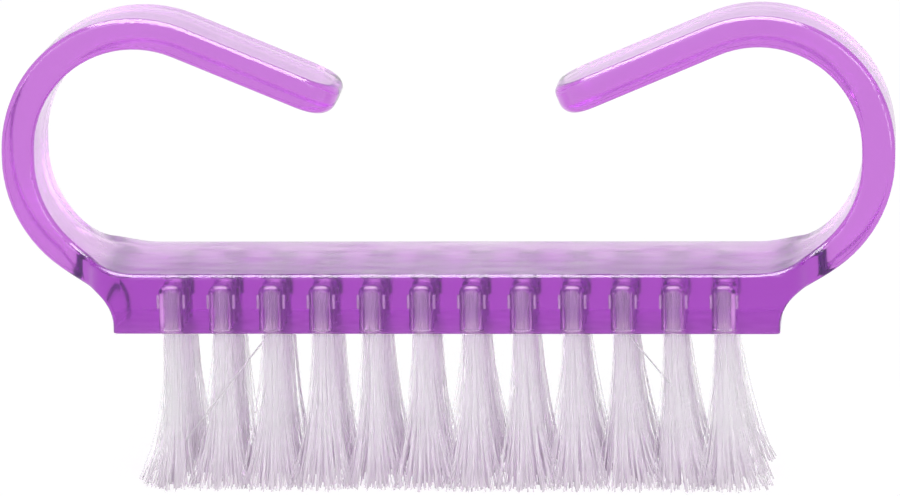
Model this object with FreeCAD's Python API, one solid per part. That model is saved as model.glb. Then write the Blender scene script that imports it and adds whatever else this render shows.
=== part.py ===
import FreeCAD, Part
import math
import os

# A small hand brush for nails. One clear moulding makes the block and a curled finger grip at each
# end, and nylon tufts are doubled over flat wire anchors and driven into holes in the underside.
# Sizes are millimetres. +X runs along the block, -Y is the front and +Z is up.
# The origin is the middle of the plane that the bristle tips are trimmed to.

# Overall
overall_length = 65.2
grip_rise = 22.8
bristle_length = 11.9

# Block: how far each grip reaches past its end, and the upright foot of its end faces
grip_overhang = 8.3
block_depth = 13.0
block_height = 4.4
end_face_height = 0.5

# Shoulders, where the block narrows in plan to the straps of the grips in two equal bends
shoulder_setback = 0.6
flare_length = 4.6

# Straps of the grips: their depth, and their wall at the loop's side, at its top and at the root
strap_depth = 7.6
side_thickness = 2.4
top_thickness = 2.3
root_thickness = 1.9

# Loops of the grips: the lower bend inside, the upright run of each wall and the straight free end
loop_lower_radius = 7.8
inner_side_run = 0.85
outer_side_run = 0.5
free_end_degrees = 22.7
free_end_run = 12.2

# Rounding of the moulding's outer edges and of the crisper ones round the underside, and the turn
# above which two faces make an edge
edge_radius = 0.35
underside_radius = 0.1
smooth_degrees = 8.0

# Rounding of the free ends: a share of the strap's half depth in plan, and shares of its wall
tip_plan_share = 0.68
tip_upper_share = 0.3
tip_lower_share = 0.43

# Sockets for the tufts: their outermost centres from the block's ends and faces, the wall above them
# and the share of their radius that rounds the corner of their blind end
columns = 12
row_names = ("front", "middle", "rear")
end_margin = 4.1
face_margin = 2.3
socket_diameter = 1.8
socket_roof = 1.05
socket_end_share = 0.65

# Tufts: clearance in the socket, what the tips add to each pitch, and the room between the tips
socket_clearance = 0.04
tip_column_spread = 0.13
tip_row_spread = 0.35
tip_clearance = 0.3

# Strands of a tuft, a ring of them round one in the middle: their gaps at the mouth and at the tips
ring_strands = 6
strand_gap = 0.04
strand_tip_gap = 0.15

# Flat wire anchors: each lies across the fold of a tuft and bites into the socket's wall
anchor_thickness = 0.3
anchor_height = 1.0
anchor_bite = 0.12
anchor_clearance = 0.02
fold_thickness = 0.75

# One overrun for every cut
overrun = 1.0

# Levels and places that follow from the sizes above
block_bottom = bristle_length
block_top = block_bottom + block_height
grip_top = block_bottom + grip_rise
inner_top = grip_top - top_thickness
strap_level = (block_top + inner_top) / 2
half_length = overall_length / 2
half_block = half_length - grip_overhang
half_depth = block_depth / 2
half_strap = strap_depth / 2
tip_plan_radius = tip_plan_share * half_strap
column_pitch = 2 * (half_block - end_margin) / (columns - 1)
row_pitch = 2 * (half_depth - face_margin) / (len(row_names) - 1)
tip_column_pitch = column_pitch + tip_column_spread
tip_row_pitch = row_pitch + tip_row_spread
tip_radius = (min(tip_column_pitch, tip_row_pitch) - tip_clearance) / 2
socket_radius = socket_diameter / 2
socket_end_radius = socket_end_share * socket_radius
socket_depth = block_height - socket_roof
anchor_length = socket_diameter + 2 * anchor_bite
anchor_top = block_bottom + socket_depth - fold_thickness
along_x = FreeCAD.Vector(1, 0, 0)
along_y = FreeCAD.Vector(0, 1, 0)
along_z = FreeCAD.Vector(0, 0, 1)


def spot(x, z):
    """A point of the side view, on the plane through the middle of the depth."""
    return FreeCAD.Vector(x, 0, z)


def plan_spot(x, y):
    """A point of the plan view."""
    return FreeCAD.Vector(x, y, 0)


def line(start, end):
    return Part.LineSegment(start, end).toShape()


def arc(place, centre, radius, start_degrees, end_degrees):
    """An arc in the view of place, spot or plan_spot. Angles turn from +X to the view's other axis."""
    points = []
    for degrees in (start_degrees, (start_degrees + end_degrees) / 2, end_degrees):
        turn = math.radians(degrees)
        points.append(centre + place(radius * math.cos(turn), radius * math.sin(turn)))
    return Part.Arc(*points).toShape()


def loop_wall(side_x, bottom_z, top_z, lower_radius, side_run):
    """Centres and radii of one wall of a loop: a lower bend, an upright run and an upper bend."""
    lower_centre = spot(side_x - lower_radius, bottom_z + lower_radius)
    run_end = lower_centre.z + side_run
    upper_radius = top_z - run_end
    upper_centre = spot(side_x - upper_radius, run_end)
    return lower_centre, upper_centre, upper_radius


def free_end(inner_end, outer_end, along, across):
    """The straight run and square tip that close a grip, and the tip's upper corner."""
    upper_corner = outer_end + along * free_end_run
    wall = (outer_end - inner_end).dot(across)
    lower_corner = upper_corner - across * wall
    edges = [
        line(inner_end, lower_corner),
        line(lower_corner, upper_corner),
        line(upper_corner, outer_end),
    ]
    return edges, upper_corner


def root_fillet(loop_centre, loop_radius):
    """The fillet from the block's end face to the outside of the loop: its centre, radius and turn."""
    start = spot(half_block, block_bottom + end_face_height)
    reach = start - loop_centre
    radius = (reach.Length ** 2 - loop_radius ** 2) / (2 * (loop_radius - reach.x))
    centre = start + along_x * radius
    turn = math.atan2(centre.z - loop_centre.z, centre.x - loop_centre.x)
    return centre, radius, math.degrees(turn)


def side_view():
    """The right half in side view, and the corner and axes of its free end."""
    outer_radius = loop_lower_radius + (side_thickness + root_thickness) / 2
    inner_x = half_length - side_thickness
    in_low, in_high, in_high_radius = loop_wall(
        inner_x, block_top, inner_top, loop_lower_radius, inner_side_run)
    out_low, out_high, out_high_radius = loop_wall(
        half_length, block_top - root_thickness, grip_top, outer_radius, outer_side_run)
    fall = math.radians(free_end_degrees)
    along = spot(-math.cos(fall), -math.sin(fall))
    across = spot(-math.sin(fall), math.cos(fall))
    inner_end = in_high + across * in_high_radius
    outer_end = out_high + across * out_high_radius
    tip_edges, tip_corner = free_end(inner_end, outer_end, along, across)
    root_centre, root_radius, root_turn = root_fillet(out_low, outer_radius)
    top_turn = 90 + free_end_degrees
    edges = [
        line(spot(0, block_bottom), spot(0, block_top)),
        line(spot(0, block_top), spot(in_low.x, block_top)),
        arc(spot, in_low, loop_lower_radius, -90, 0),
        line(spot(inner_x, in_low.z), spot(inner_x, in_high.z)),
        arc(spot, in_high, in_high_radius, 0, top_turn),
        *tip_edges,
        arc(spot, out_high, out_high_radius, top_turn, 0),
        line(spot(half_length, out_high.z), spot(half_length, out_low.z)),
        arc(spot, out_low, outer_radius, 0, root_turn),
        arc(spot, root_centre, root_radius, 180 + root_turn, 180),
        line(spot(half_block, root_centre.z), spot(half_block, block_bottom)),
        line(spot(half_block, block_bottom), spot(0, block_bottom)),
    ]
    return Part.Face(Part.Wire(edges)), tip_corner, along, across


def strap_cutter():
    """What is cut from the front of the right half to leave the shoulder and the narrow strap."""
    half_turn = math.atan2(half_depth - half_strap, flare_length)
    turn = math.degrees(2 * half_turn)
    radius = flare_length / (2 * math.sin(2 * half_turn))
    start_x = half_block - shoulder_setback
    end_x = start_x + flare_length
    far_x = half_length + overrun
    far_y = -half_depth - overrun
    edges = [
        arc(plan_spot, plan_spot(start_x, radius - half_depth), radius, -90, turn - 90),
        arc(plan_spot, plan_spot(end_x, -half_strap - radius), radius, 90 + turn, 90),
        line(plan_spot(end_x, -half_strap), plan_spot(far_x, -half_strap)),
        line(plan_spot(far_x, -half_strap), plan_spot(far_x, far_y)),
        line(plan_spot(far_x, far_y), plan_spot(start_x, far_y)),
        line(plan_spot(start_x, far_y), plan_spot(start_x, -half_depth)),
    ]
    low = block_bottom - overrun
    plan = Part.Face(Part.Wire(edges))
    plan.translate(along_z * low)
    lower = plan.extrude(along_z * (strap_level - low))
    upper_corner = FreeCAD.Vector(0, far_y, strap_level)
    upper = Part.makeBox(far_x, -half_strap - far_y, grip_top + overrun - strap_level, upper_corner)
    return lower.fuse(upper).removeSplitter()


def tip_cutter(tip_corner, along, across):
    """What is cut from the front of the free end to make it round in plan."""
    width = tip_plan_radius + overrun
    height = top_thickness + 2 * overrun
    base = FreeCAD.Vector(0, 0, overrun - height)
    cutter = Part.makeBox(width, width, height, base)
    cutter = cutter.cut(Part.makeCylinder(tip_plan_radius, height, base))
    centre = tip_corner - along * tip_plan_radius - along_y * (half_strap - tip_plan_radius)
    turn = FreeCAD.Rotation(along, -along_y, across, "ZXY")
    cutter.Placement = FreeCAD.Placement(centre, turn)
    return cutter


def is_sharp(half, edge):
    """Whether an edge of the right half is to be rounded: not if it is smooth or in the middle section."""
    if edge.BoundBox.XMax < overrun:
        return False
    middle = edge.valueAt((edge.FirstParameter + edge.LastParameter) / 2)
    normals = []
    for face in half.ancestorsOfType(edge, Part.Face):
        normals.append(face.normalAt(*face.Surface.parameter(middle)))
    return math.degrees(normals[0].getAngle(normals[1])) > smooth_degrees


def rounding_at(point, tip_corner, along, across):
    """The radius of an outer edge at a point. It grows round the corners of the free end."""
    if point.z < strap_level:
        return edge_radius
    reach = tip_corner - point
    nearness = max(0, 1 - reach.dot(along) / tip_plan_radius)
    share = tip_upper_share if reach.dot(across) < top_thickness / 2 else tip_lower_share
    return edge_radius + (share * top_thickness - edge_radius) * nearness


def rounded(half, tip_corner, along, across):
    """The right half with its outer edges rounded."""
    document = FreeCAD.newDocument()
    plain = document.addObject("Part::Feature")
    plain.Shape = half
    fillet = document.addObject("Part::Fillet")
    fillet.Base = plain
    radii = []
    for number, edge in enumerate(plain.Shape.Edges, 1):
        if is_sharp(plain.Shape, edge):
            ends = sorted((vertex.Point for vertex in edge.Vertexes), key=lambda point: point.y)
            start, end = (rounding_at(point, tip_corner, along, across) for point in ends)
            if edge.BoundBox.ZMax < block_bottom + underside_radius:
                start = end = underside_radius
            radii.append((number, start, end))
    # The edges across the free end come first, so that their run towards +Y sets the radii's order
    fillet.Edges = sorted(radii, key=lambda item: -min(item[1:]))
    document.recompute()
    return fillet.Shape


def moulding():
    """The block with both grips, without its sockets."""
    face, tip_corner, along, across = side_view()
    face.translate(along_y * -half_depth)
    half = face.extrude(along_y * block_depth)
    for cutter in (strap_cutter(), tip_cutter(tip_corner, along, across)):
        half = half.cut(cutter)
        half = half.cut(cutter.mirror(FreeCAD.Vector(), along_y))
    half = rounded(half, tip_corner, along, across)
    return half.fuse(half.mirror(FreeCAD.Vector(), along_x)).removeSplitter()


def socket_plug(clearance, depth_below):
    """A socket's round hole with its rounded blind end, shrunk all round by the clearance."""
    radius = socket_radius - clearance
    base = block_bottom - depth_below
    top = block_bottom + socket_depth - clearance
    hole = Part.makeCylinder(radius, top - base, along_z * base)
    rims = [edge for edge in hole.Edges if edge.BoundBox.ZMin > top - clearance - socket_end_radius]
    return hole.makeFillet(socket_end_radius - clearance, rims)


def anchor_block(length, clearance):
    """An anchor under the fold of a tuft on the Z axis, grown all round by the clearance."""
    thickness = anchor_thickness + 2 * clearance
    height = anchor_height + 2 * clearance
    corner = FreeCAD.Vector(-length / 2, -thickness / 2, anchor_top + clearance - height)
    return Part.makeBox(length, thickness, height, corner)


def strand_circles(centre, bundle_radius, gap):
    """The strands' circles at one level of a tuft. A radius, a gap and a diameter reach its outside."""
    radius = (bundle_radius - gap) / 3
    reach = bundle_radius - radius
    spots = [centre]
    for number in range(ring_strands):
        turn = 2 * math.pi * number / ring_strands
        spots.append(centre + plan_spot(reach * math.cos(turn), reach * math.sin(turn)))
    return [Part.Wire(Part.makeCircle(radius, middle)) for middle in spots]


def tuft(column_step, row_step):
    """A doubled tuft in its socket, with its strands fanned out to their tips, by its steps from the middle."""
    place = plan_spot(column_step * column_pitch, row_step * row_pitch)
    tip_place = plan_spot(column_step * tip_column_pitch, row_step * tip_row_pitch)
    mouth_radius = socket_radius - socket_clearance - strand_gap
    mouths = strand_circles(place + along_z * block_bottom, mouth_radius, strand_gap)
    tips = strand_circles(tip_place, tip_radius, strand_tip_gap)
    strands = [Part.makeLoft([tip, mouth], True, True) for tip, mouth in zip(tips, mouths)]
    slot = anchor_block(socket_diameter + 2 * overrun, anchor_clearance)
    neck = socket_plug(socket_clearance, 0).cut(slot).translated(place)
    return neck.fuse(strands)


def build():
    """Each sub-part's shape by its name."""
    shapes = {}
    socket = socket_plug(0, overrun)
    socket = socket.fuse(anchor_block(anchor_length + 2 * anchor_clearance, anchor_clearance))
    sockets = []
    for row, row_name in enumerate(row_names):
        row_step = row - (len(row_names) - 1) / 2
        anchors = []
        for column in range(columns):
            column_step = column - (columns - 1) / 2
            place = plan_spot(column_step * column_pitch, row_step * row_pitch)
            shapes[f"tuft_{row_name}_{column + 1:02d}"] = tuft(column_step, row_step)
            anchors.append(anchor_block(anchor_length, 0).translated(place))
            sockets.append(socket.translated(place))
        shapes[f"anchor_staples_{row_name}"] = Part.makeCompound(anchors)
    shapes["brush_body"] = moulding().cut(sockets)
    return shapes


os.makedirs("parts", exist_ok=True)
for name, shape in build().items():
    shape.exportStep(f"parts/{name}.step")
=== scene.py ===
import math

import bpy
import numpy as np
from mathutils import Matrix, Vector


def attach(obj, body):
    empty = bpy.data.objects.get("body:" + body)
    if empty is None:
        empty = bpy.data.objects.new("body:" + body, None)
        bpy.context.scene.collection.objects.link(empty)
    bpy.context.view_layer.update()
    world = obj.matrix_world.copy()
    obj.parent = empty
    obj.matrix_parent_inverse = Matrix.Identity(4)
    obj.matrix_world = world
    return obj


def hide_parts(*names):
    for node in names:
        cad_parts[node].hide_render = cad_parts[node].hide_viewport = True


# Looks of the nail brush: a clear purple moulding, nylon tufts doubled over wire anchors, a white studio.
# Lengths in the values below are millimetres in the frame of the solids, and MM turns them into metres.
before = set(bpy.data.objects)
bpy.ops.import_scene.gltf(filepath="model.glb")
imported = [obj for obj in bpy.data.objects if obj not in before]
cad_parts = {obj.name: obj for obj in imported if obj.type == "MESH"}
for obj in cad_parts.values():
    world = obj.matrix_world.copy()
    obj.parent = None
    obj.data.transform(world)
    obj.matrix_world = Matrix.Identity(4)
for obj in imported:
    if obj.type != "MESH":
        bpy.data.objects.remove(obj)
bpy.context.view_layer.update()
MM = 0.001

# Block, tufts and sockets, as the solids have them
COLUMNS = 12
ROWS = ("front", "middle", "rear")
COLUMN_PITCH = 3.6727
ROW_PITCH = 4.2
TIP_COLUMN_PITCH = 3.8027
TIP_ROW_PITCH = 4.55
BLOCK_BOTTOM = 11.9
BLOCK_TOP = 16.3
SOCKET_TOP = 15.25
ANCHOR_BOTTOM = 13.5
ANCHOR_TOP = 14.5
ANCHOR_HALF = 0.15
HALF_DEPTH = 6.5
HALF_BLOCK = 24.3

# Filaments: their size, how they pack in a socket, and how their tips fan out
FILAMENT_RADIUS = 0.05
FILAMENT_SIDES = 4
PACK_SPACING = 0.126
PACK_RADIUS = 0.76
PACK_JITTER = 0.012
TIP_SPREAD = (2.5, 1.8)
TIP_NOISE = 0.3
TIP_RAGGED = 0.05
CURL_RANGE = (1.4, 2.8)
TUFT_LEAN = 0.2
BOW = 0.1
FIRST_SEED = 1000
SEEDS_PER_ROW = 100

# Where the points of a filament lie: shares of the way from the block to the tip, and of the half turn
# over the anchor
LEG_STEPS = (1.0, 0.8, 0.6, 0.4, 0.2, 0.0)
FOLD_STEPS = (0.25, 0.5, 0.75)

# The tips at the left end lift where they splay out past this place
LEFT_SPLAY_FROM = -21.5
LEFT_SPLAY_LIFT = 0.11

# The outer sides of the end tufts, as shares of the usual spread and curl: the left ones hang straight
# and turn out near the tips, and the right ones fan out
END_TUFT_FROM = 20.0
LEFT_END = (0.72, 1.7)
RIGHT_END = (1.2, 1.0)

# Single bent filaments in front of the rest, by tuft: the place of the tip, and the tone that marks them
STRAYS = {("front", 3): (-19.2, -6.4, 3.9), ("front", 10): (16.4, -6.2, 8.0)}
STRAY_TONE = 2.0
STRAY_CURL = 1.0

# Clear plastic: what it absorbs, and its bend of light
PLASTIC_TINT = (0.7, 0.045, 0.8, 1.0)
PLASTIC_DENSITY = 245.0
PLASTIC_IOR = 1.5

# Finishes that vary over a surface: size of the marks, detail, scale along x, lowest and highest value
POLISH = (3.0, 0.0, 1.0, 0.13, 0.18)
TOP_HAZE = (1.5, 2.0, 0.3, 0.35, 0.55)
SOCKET_MATT = (2.0, 0.0, 1.0, 0.17, 0.22)
UNDERSIDE_DULL = (2.0, 0.0, 1.0, 0.3, 0.4)
TOP_GLOSS = (1.8, 2.0, 0.4, 0.15, 0.65)
NYLON_SHEEN = (0.6, 2.0, 1.0, 0.3, 0.5)
TOP_GLOSS_ROUGHNESS = 0.1
WAVE_SIZE = 3.0
WAVE_STRENGTH = 0.3
WAVE_HEIGHT = 0.03

# Zones of the plastic: heights of the sockets, the underside and the top, how far the sockets keep from
# the outside, where the top fades out at the grips, and how far up a surface has to face to be the top
SOCKET_ZONE = (BLOCK_BOTTOM + 0.05, SOCKET_TOP + 0.1)
UNDERSIDE_ZONE = (BLOCK_BOTTOM - 0.05, BLOCK_BOTTOM + 0.08)
TOP_ZONE = (BLOCK_TOP - 0.02, BLOCK_TOP + 2.5)
SOCKET_INSET = 0.5
TOP_FADE = ((HALF_BLOCK - 1.0) * MM, (HALF_BLOCK + 4.0) * MM)
TOP_FACING = (0.4, 0.7)

# Nylon: its colours by height. Lilac and a little darker at the tips, a painted purple cast of light; white
# by the block; and in the sockets a darker purple, painted shade and painted purple light from the plastic
# around them
NYLON_WHITE = (0.995, 0.998, 0.997, 1.0)
# Painted shade and purple light for the nylon inside the sockets, not a colour of the nylon itself
NYLON_PAINTED_SOCKET_SHADE = (0.77, 0.64, 0.86, 1.0)
NYLON_STOPS = (
    (0.0, (0.93, 0.86, 0.945, 1.0)), (5.36, (0.977, 0.972, 0.983, 1.0)), (BLOCK_BOTTOM, NYLON_WHITE),
    (12.3, NYLON_WHITE), (12.9, NYLON_PAINTED_SOCKET_SHADE), (SOCKET_TOP, NYLON_PAINTED_SOCKET_SHADE))
NYLON_SCATTER = 0.5

# Nylon: lowest brightness of a filament, brightness of a stray, and how much of the light meets a filament
# at the tips, above the height where that has faded, and on a stray
FILAMENT_DARKEST = 0.994
STRAY_GREY = 0.35
TIP_COVER = 0.45
SHAFT_COVER = 0.2
COVER_FADE = 4.76
STRAY_COVER = 0.9

# Anchor wire: size of the drawn lines, their detail and stretch, two tones and the range of roughness
WIRE_LINES = (0.15, 2.0, 0.05)
WIRE_DARK = (0.36, 0.36, 0.38, 1.0)
WIRE_BRIGHT = (0.6, 0.6, 0.62, 1.0)
WIRE_ROUGHNESS = (0.3, 0.45)

# Studio: the floor's size and level, its colour as light meets it and as it shows, and the world's light
WHITE = (1.0, 1.0, 1.0, 1.0)
FLOOR_HALF = 3000.0
FLOOR_LEVEL = -0.05
FLOOR_COLOUR = (0.8, 0.8, 0.8, 1.0)
FLOOR_SHADE = (0.25, 0.25, 0.25, 1.0)
FLOOR_GLOW = 0.81
WORLD_LIGHT = 0.75
WORLD_SEEN = 1.0

# Soft lamps: name, place, width and height, power in watts, the point it faces, and whether it shows only
# in reflections (True) or everywhere but in them (False)
LAMPS = (
    ("key", (220.0, -560.0, 95.0), (300.0, 160.0), 1.7, (0.0, 0.0, 15.0), False),
    ("fill", (-220.0, -560.0, 95.0), (300.0, 160.0), 1.2, (0.0, 0.0, 15.0), False),
    ("overhead", (-35.0, -180.0, 420.0), (420.0, 760.0), 12.5, (-35.0, -180.0, 0.0), True))

# Camera, fitted to the photograph's outline: angles in radians, and the clip range in metres
CAMERA_YAW = 0.0847
CAMERA_PITCH = 0.1918
CAMERA_ROLL = 0.0167
CAMERA_DISTANCE = 419.94
CAMERA_TARGET = (-0.085, 0.0, 17.006)
CAMERA_LENS = 228.4
SENSOR_WIDTH = 36.0
CLIP_START = 0.01
CLIP_END = 20.0


def node_material(name):
    """A new material with only its output node."""
    material = bpy.data.materials.new(name)
    material.use_nodes = True
    tree = material.node_tree
    tree.nodes.clear()
    output = tree.nodes.new("ShaderNodeOutputMaterial")
    return material, tree, output


def add_node(tree, kind, links=(), **values):
    """A node with its sockets set by name, and links as (socket, where it comes from)."""
    node = tree.nodes.new(kind)
    for name, value in values.items():
        node.inputs[name.replace("_", " ")].default_value = value
    for name, source in links:
        tree.links.new(source, node.inputs[name])
    return node


def worked_out(tree, operation, *values):
    """A value worked out from others, each a number or the socket of a node."""
    node = tree.nodes.new("ShaderNodeMath")
    node.operation = operation
    for number, value in enumerate(values):
        if isinstance(value, float):
            node.inputs[number].default_value = value
        else:
            tree.links.new(value, node.inputs[number])
    return node.outputs["Value"]


def product(tree, first, *others):
    """Several values multiplied."""
    result = first
    for value in others:
        result = worked_out(tree, "MULTIPLY", result, value)
    return result


def inside(tree, value, low_mm, high_mm):
    """1 where a coordinate is between two places."""
    return worked_out(tree, "COMPARE", value, (low_mm + high_mm) / 2 * MM, (high_mm - low_mm) / 2 * MM)


def ranged(tree, source, low, high, from_low=0.3, from_high=0.7):
    """A value spread from low to high. Noise mostly lies between the two limits given here."""
    spread = add_node(tree, "ShaderNodeMapRange", [("Value", source)],
                      From_Min=from_low, From_Max=from_high, To_Min=low, To_Max=high)
    return spread.outputs["Result"]


def blended(tree, share, first, second):
    """The first value where the share is 0, and the second where it is 1."""
    mix = add_node(tree, "ShaderNodeMix", [("Factor", share), ("A", first), ("B", second)])
    return mix.outputs["Result"]


def object_place(tree):
    """The x, y and z of a surface in the object's own space."""
    place = tree.nodes.new("ShaderNodeTexCoord")
    split = add_node(tree, "ShaderNodeSeparateXYZ", [("Vector", place.outputs["Object"])])
    return [split.outputs[axis] for axis in "XYZ"]


def object_noise(tree, feature_mm, detail, stretch):
    """Noise in the object's own space, with features of about that size, drawn out along x."""
    place = tree.nodes.new("ShaderNodeTexCoord")
    scale = add_node(tree, "ShaderNodeMapping", [("Vector", place.outputs["Object"])],
                     Scale=(stretch, 1.0, 1.0))
    noise = add_node(tree, "ShaderNodeTexNoise", [("Vector", scale.outputs["Vector"])],
                     Scale=1.0 / (feature_mm * MM), Detail=detail)
    return noise.outputs["Fac"]


def varied(tree, finish):
    """One of the finishes at the top, as a value that varies over the surface."""
    feature_mm, detail, stretch, low, high = finish
    return ranged(tree, object_noise(tree, feature_mm, detail, stretch), low, high)


def body_plastic():
    """Clear purple plastic, tinted by what it absorbs over its depth. Sockets are matt, the top is hazy."""
    material, tree, output = node_material("clear_purple_plastic")
    x, y, z = object_place(tree)
    length = HALF_BLOCK - SOCKET_INSET
    depth = HALF_DEPTH - SOCKET_INSET
    in_plan = product(tree, inside(tree, x, -length, length), inside(tree, y, -depth, depth))
    in_sockets = product(tree, in_plan, inside(tree, z, *SOCKET_ZONE))
    along = ranged(tree, worked_out(tree, "ABSOLUTE", x), 1.0, 0.0, *TOP_FADE)
    surface = tree.nodes.new("ShaderNodeNewGeometry")
    facing = add_node(tree, "ShaderNodeSeparateXYZ", [("Vector", surface.outputs["True Normal"])])
    upward = ranged(tree, facing.outputs["Z"], 0.0, 1.0, *TOP_FACING)
    on_top = product(tree, along, upward, inside(tree, z, *TOP_ZONE))
    below = inside(tree, z, *UNDERSIDE_ZONE)
    finish = blended(tree, on_top, varied(tree, POLISH), varied(tree, TOP_HAZE))
    finish = blended(tree, in_sockets, finish, varied(tree, SOCKET_MATT))
    finish = blended(tree, below, finish, varied(tree, UNDERSIDE_DULL))
    gloss = product(tree, on_top, varied(tree, TOP_GLOSS))
    waves = add_node(tree, "ShaderNodeBump", [("Height", object_noise(tree, WAVE_SIZE, 0.0, 1.0))],
                     Strength=WAVE_STRENGTH, Distance=WAVE_HEIGHT * MM)
    shader = add_node(tree, "ShaderNodeBsdfPrincipled", [
        ("Roughness", finish), ("Coat Weight", gloss), ("Normal", waves.outputs["Normal"])],
        Base_Color=WHITE, IOR=PLASTIC_IOR, Transmission_Weight=1.0, Coat_Roughness=TOP_GLOSS_ROUGHNESS)
    tint = add_node(tree, "ShaderNodeVolumeAbsorption", Color=PLASTIC_TINT, Density=PLASTIC_DENSITY)
    tree.links.new(shader.outputs["BSDF"], output.inputs["Surface"])
    tree.links.new(tint.outputs["Volume"], output.inputs["Volume"])
    return material


def bristle_nylon():
    """Pale nylon that lets much light by, with painted shade in the sockets and a painted purple cast at
    the tips. Each filament differs a little, and strays are grey.
    """
    material, tree, output = node_material("pale_nylon")
    height = object_place(tree)[2]
    share = ranged(tree, height, 0.0, 1.0, 0.0, SOCKET_TOP * MM)
    # The ramp holds the painted shade in the sockets and the painted purple cast at the tips, over the
    # white nylon
    ramp = add_node(tree, "ShaderNodeValToRGB", [("Fac", share)])
    stops = ramp.color_ramp.elements
    stops[0].color = NYLON_STOPS[0][1]
    stops[1].color = NYLON_STOPS[-1][1]
    for level_mm, colour in NYLON_STOPS[1:-1]:
        stops.new(level_mm / SOCKET_TOP).color = colour
    attribute = tree.nodes.new("ShaderNodeAttribute")
    attribute.attribute_name = "strand"
    strand = attribute.outputs["Fac"]
    slight = ranged(tree, strand, FILAMENT_DARKEST, 1.0, 0.0, 1.0)
    grey = ranged(tree, strand, 1.0, STRAY_GREY, 1.0, STRAY_TONE)
    tone = add_node(tree, "ShaderNodeHueSaturation", [
        ("Color", ramp.outputs["Color"]), ("Value", product(tree, slight, grey))])
    by_height = ranged(tree, height, TIP_COVER, SHAFT_COVER, 0.0, COVER_FADE * MM)
    on_stray = ranged(tree, strand, 0.0, STRAY_COVER, 1.0, STRAY_TONE)
    shader = add_node(tree, "ShaderNodeBsdfPrincipled", [
        ("Base Color", tone.outputs["Color"]), ("Roughness", varied(tree, NYLON_SHEEN)),
        ("Alpha", worked_out(tree, "MAXIMUM", by_height, on_stray))],
        Subsurface_Weight=1.0, Subsurface_Radius=(1.0, 1.0, 1.0), Subsurface_Scale=NYLON_SCATTER * MM)
    tree.links.new(shader.outputs["BSDF"], output.inputs["Surface"])
    return material


def anchor_wire():
    """Flat drawn steel wire, with faint lines along it."""
    material, tree, output = node_material("drawn_steel_wire")
    lines = object_noise(tree, *WIRE_LINES)
    ramp = add_node(tree, "ShaderNodeValToRGB", [("Fac", lines)])
    ramp.color_ramp.elements[0].color = WIRE_DARK
    ramp.color_ramp.elements[1].color = WIRE_BRIGHT
    shader = add_node(tree, "ShaderNodeBsdfPrincipled", [
        ("Base Color", ramp.outputs["Color"]), ("Roughness", ranged(tree, lines, *WIRE_ROUGHNESS))],
        Metallic=1.0)
    tree.links.new(shader.outputs["BSDF"], output.inputs["Surface"])
    return material


def half_disc_spots():
    """Packed places of the filaments on one side of an anchor, in a hexagonal grid."""
    found = []
    rise = PACK_SPACING * math.sqrt(3) / 2
    first = ANCHOR_HALF + FILAMENT_RADIUS
    lines = math.ceil((PACK_RADIUS - first) / rise)
    reach = math.ceil(PACK_RADIUS / PACK_SPACING)
    for line in range(lines):
        y = first + line * rise
        for step in range(-reach, reach + 1):
            x = (step + 0.5 * (line % 2)) * PACK_SPACING
            if math.hypot(x, y) < PACK_RADIUS:
                found.append((x, y))
    return np.array(found)


def leg_points(rng, spots, place, lean, side, stray):
    """Points up one leg of each filament, from the tip to the anchor's top. In plan they start at place."""
    count = len(spots)
    x = spots[:, 0]
    y = spots[:, 1]
    closed = PACK_RADIUS * (y - ANCHOR_HALF) / (PACK_RADIUS - ANCHOR_HALF)
    mouth = np.stack([x, side * closed], 1)
    tip = lean + mouth / PACK_RADIUS * TIP_SPREAD + rng.normal(0.0, TIP_NOISE, mouth.shape)
    splay = np.maximum(LEFT_SPLAY_FROM - place[0] - tip[:, 0], 0.0)
    level = FILAMENT_RADIUS + np.abs(rng.normal(0.0, TIP_RAGGED, count)) + LEFT_SPLAY_LIFT * splay ** 2
    curl = rng.uniform(*CURL_RANGE, count)
    if abs(place[0]) > END_TUFT_FROM:
        spread_share, curl_share = LEFT_END if place[0] < 0.0 else RIGHT_END
        outward = place[0] * tip[:, 0] > 0.0
        tip[outward, 0] *= spread_share
        curl[outward] *= curl_share
    if stray and side < 0:
        tip[-1] = np.array(stray[:2]) - place
        level[-1] = stray[2]
        curl[-1] = STRAY_CURL
    bow_way = rng.uniform(0.0, 2 * math.pi, count)
    bow = np.stack([np.cos(bow_way), np.sin(bow_way)], 1) * rng.normal(0.0, BOW, (count, 1))
    points = []
    for step in LEG_STEPS:
        spread = mouth + (tip - mouth) * (step ** curl)[:, None] + bow * math.sin(math.pi * step)
        points.append(np.column_stack([spread, BLOCK_BOTTOM + (level - BLOCK_BOTTOM) * step]))
    for height in (ANCHOR_BOTTOM, ANCHOR_TOP):
        points.append(np.column_stack([x, side * y, np.full(count, height)]))
    return points


def tuft_lines(rng, place, tip_place, stray):
    """Centre lines of a tuft's filaments, each doubled over the anchor. place and tip_place are in plan."""
    spots = half_disc_spots()
    spots = spots + rng.uniform(-PACK_JITTER, PACK_JITTER, spots.shape)
    lean = tip_place - place + rng.normal(0.0, TUFT_LEAN, 2)
    front_leg = leg_points(rng, spots, place, lean, -1.0, stray)
    rear_leg = leg_points(rng, spots, place, lean, 1.0, stray)
    x = spots[:, 0]
    y = spots[:, 1]
    fold = []
    for step in FOLD_STEPS:
        angle = math.pi * step
        fold_rise = (SOCKET_TOP - ANCHOR_TOP) * y * math.sin(angle)
        fold.append(np.column_stack([x, -y * math.cos(angle), ANCHOR_TOP + fold_rise]))
    lines = np.stack(front_leg + fold + rear_leg[::-1], 1)
    lines[:, :, :2] += place
    limit = HALF_DEPTH - 2 * FILAMENT_RADIUS
    lines[:, :, 1] = np.clip(lines[:, :, 1], -limit, limit)
    return lines


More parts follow.
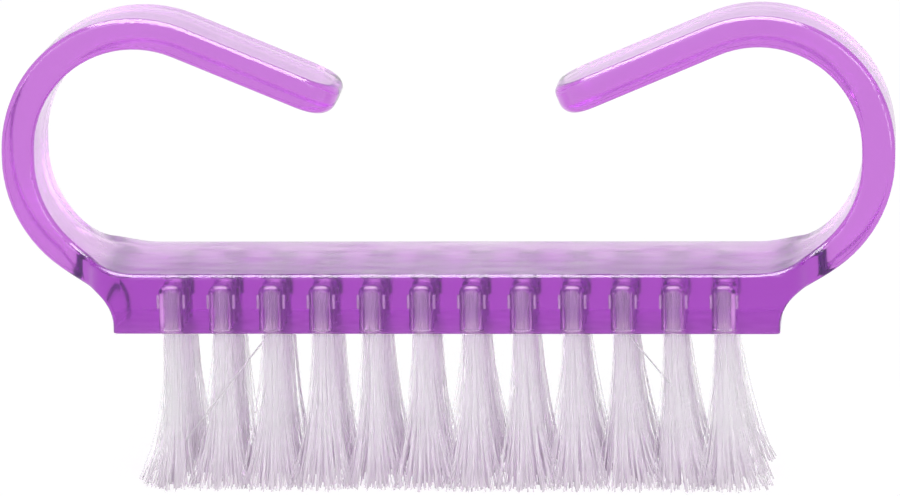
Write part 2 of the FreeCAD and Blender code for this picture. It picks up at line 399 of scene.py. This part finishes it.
def filament_mesh(name, rng, lines, stray):
    """A mesh of closed tubes along the centre lines, with each filament's own tone."""
    count, rings, _ = lines.shape
    ways = np.gradient(lines, axis=1)
    ways /= np.linalg.norm(ways, axis=2, keepdims=True)
    across = np.array([1.0, 0.0, 0.0]) - ways * ways[:, :, :1]
    across /= np.linalg.norm(across, axis=2, keepdims=True)
    other = np.cross(ways, across)
    turns = 2 * math.pi * np.arange(FILAMENT_SIDES) / FILAMENT_SIDES
    ring = np.cos(turns)[:, None] * across[:, :, None, :] + np.sin(turns)[:, None] * other[:, :, None, :]
    points = (lines[:, :, None, :] + FILAMENT_RADIUS * ring) * MM
    corners = np.arange(FILAMENT_SIDES)
    after = (corners + 1) % FILAMENT_SIDES
    starts = FILAMENT_SIDES * np.arange(rings - 1)[:, None]
    walls = np.stack([starts + corners, starts + after, starts + FILAMENT_SIDES + after,
                      starts + FILAMENT_SIDES + corners], -1).reshape(-1, 4)
    caps = np.stack([corners[::-1], FILAMENT_SIDES * (rings - 1) + corners])
    tube = np.concatenate([walls, caps])
    faces = tube + (rings * FILAMENT_SIDES * np.arange(count))[:, None, None]
    smooth = np.tile(np.arange(len(tube)) < len(walls), count)
    mesh = bpy.data.meshes.new(name)
    mesh.from_pydata(points.reshape(-1, 3).tolist(), [], faces.reshape(-1, 4).tolist())
    mesh.polygons.foreach_set("use_smooth", smooth)
    strand = mesh.attributes.new("strand", "FLOAT", "POINT")
    tones = rng.uniform(0.0, 1.0, count)
    if stray:
        tones[-1] = STRAY_TONE
    strand.data.foreach_set("value", np.repeat(tones, rings * FILAMENT_SIDES))
    return mesh


def add_tufts(material):
    """One bundle of filaments in place of each tuft's solid."""
    for row, row_name in enumerate(ROWS):
        for column in range(COLUMNS):
            rng = np.random.default_rng(FIRST_SEED + SEEDS_PER_ROW * row + column)
            steps = np.array([column - (COLUMNS - 1) / 2, row - (len(ROWS) - 1) / 2])
            place = steps * (COLUMN_PITCH, ROW_PITCH)
            tip_place = steps * (TIP_COLUMN_PITCH, TIP_ROW_PITCH)
            stray = STRAYS.get((row_name, column + 1))
            lines = tuft_lines(rng, place, tip_place, stray)
            name = f"bristles_{row_name}_{column + 1:02d}"
            mesh = filament_mesh(name, rng, lines, stray)
            mesh.materials.append(material)
            piece = bpy.data.objects.new(name, mesh)
            bpy.context.scene.collection.objects.link(piece)
            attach(piece, "root")
            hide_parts(f"tuft_{row_name}_{column + 1:02d}")


def dress_node(node, material):
    """Gives a CAD node its material."""
    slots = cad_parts[node].data.materials
    slots.clear()
    slots.append(material)


def seen_or_not(tree, output, lighting, seen):
    """One shader gives light, and the other is what shows: straight, mirrored or through clear plastic."""
    path = tree.nodes.new("ShaderNodeLightPath")
    mirrored = worked_out(tree, "MAXIMUM", path.outputs["Is Camera Ray"], path.outputs["Is Glossy Ray"])
    any_way = worked_out(tree, "MAXIMUM", mirrored, path.outputs["Is Transmission Ray"])
    mix = add_node(tree, "ShaderNodeMixShader", [("Fac", any_way), (1, lighting), (2, seen)])
    tree.links.new(mix.outputs["Shader"], output.inputs["Surface"])


def add_floor():
    """A wide pale floor that shows white and keeps a faint shadow."""
    half = FLOOR_HALF * MM
    level = FLOOR_LEVEL * MM
    mesh = bpy.data.meshes.new("floor")
    corners = [(-half, -half, level), (half, -half, level), (half, half, level), (-half, half, level)]
    mesh.from_pydata(corners, [], [(0, 1, 2, 3)])
    floor = bpy.data.objects.new("floor", mesh)
    bpy.context.scene.collection.objects.link(floor)
    material, tree, output = node_material("pale_floor")
    plain = add_node(tree, "ShaderNodeBsdfDiffuse", Color=FLOOR_COLOUR)
    shade = add_node(tree, "ShaderNodeBsdfDiffuse", Color=FLOOR_SHADE)
    glow = add_node(tree, "ShaderNodeEmission", Color=WHITE, Strength=FLOOR_GLOW)
    white = add_node(tree, "ShaderNodeAddShader", [
        (0, shade.outputs["BSDF"]), (1, glow.outputs["Emission"])])
    seen_or_not(tree, output, plain.outputs["BSDF"], white.outputs["Shader"])
    mesh.materials.append(material)


def add_world():
    """Even studio light, with white wherever the surroundings show."""
    world = bpy.data.worlds.new("studio")
    world.use_nodes = True
    tree = world.node_tree
    tree.nodes.clear()
    output = tree.nodes.new("ShaderNodeOutputWorld")
    light = add_node(tree, "ShaderNodeBackground", Color=WHITE, Strength=WORLD_LIGHT)
    white = add_node(tree, "ShaderNodeBackground", Color=WHITE, Strength=WORLD_SEEN)
    seen_or_not(tree, output, light.outputs["Background"], white.outputs["Background"])
    bpy.context.scene.world = world


def add_lamp(name, place_mm, size_mm, power, aim_mm, only_mirrored):
    """A soft lamp that faces a point."""
    lamp = bpy.data.lights.new(name, "AREA")
    lamp.shape = "RECTANGLE"
    lamp.size = size_mm[0] * MM
    lamp.size_y = size_mm[1] * MM
    lamp.energy = power
    holder = bpy.data.objects.new(name, lamp)
    holder.visible_diffuse = not only_mirrored
    holder.visible_transmission = not only_mirrored
    holder.visible_glossy = only_mirrored
    holder.location = Vector(place_mm) * MM
    way = (Vector(aim_mm) - Vector(place_mm)).to_track_quat("-Z", "Y")
    holder.rotation_euler = way.to_euler()
    bpy.context.scene.collection.objects.link(holder)


def let_light_through():
    """Enough bounces for light to get through clear plastic and between the filaments."""
    paths = bpy.context.scene.cycles
    paths.max_bounces = 96
    paths.diffuse_bounces = 64
    paths.glossy_bounces = 16
    paths.transmission_bounces = 48
    paths.transparent_max_bounces = 64


def add_camera():
    """The camera at the photograph's place."""
    sin_yaw = math.sin(CAMERA_YAW)
    cos_yaw = math.cos(CAMERA_YAW)
    sin_pitch = math.sin(CAMERA_PITCH)
    cos_pitch = math.cos(CAMERA_PITCH)
    back = Vector((sin_yaw * cos_pitch, -cos_yaw * cos_pitch, sin_pitch))
    level_right = Vector((cos_yaw, sin_yaw, 0.0))
    level_up = back.cross(level_right)
    right = math.cos(CAMERA_ROLL) * level_right - math.sin(CAMERA_ROLL) * level_up
    up = math.sin(CAMERA_ROLL) * level_right + math.cos(CAMERA_ROLL) * level_up
    lens = bpy.data.cameras.new("camera")
    lens.sensor_fit = "HORIZONTAL"
    lens.sensor_width = SENSOR_WIDTH
    lens.lens = CAMERA_LENS
    lens.clip_start = CLIP_START
    lens.clip_end = CLIP_END
    camera = bpy.data.objects.new("camera", lens)
    turn = Matrix((right, up, back)).transposed().to_4x4()
    place = (Vector(CAMERA_TARGET) + back * CAMERA_DISTANCE) * MM
    camera.matrix_world = Matrix.Translation(place) @ turn
    bpy.context.scene.collection.objects.link(camera)
    bpy.context.scene.camera = camera


dress_node("brush_body", body_plastic())
wire = anchor_wire()
for row_name in ROWS:
    dress_node(f"anchor_staples_{row_name}", wire)
add_tufts(bristle_nylon())
add_floor()
add_world()
for lamp_values in LAMPS:
    add_lamp(*lamp_values)
let_light_through()
add_camera()
bpy.context.scene.view_settings.view_transform = "Standard"
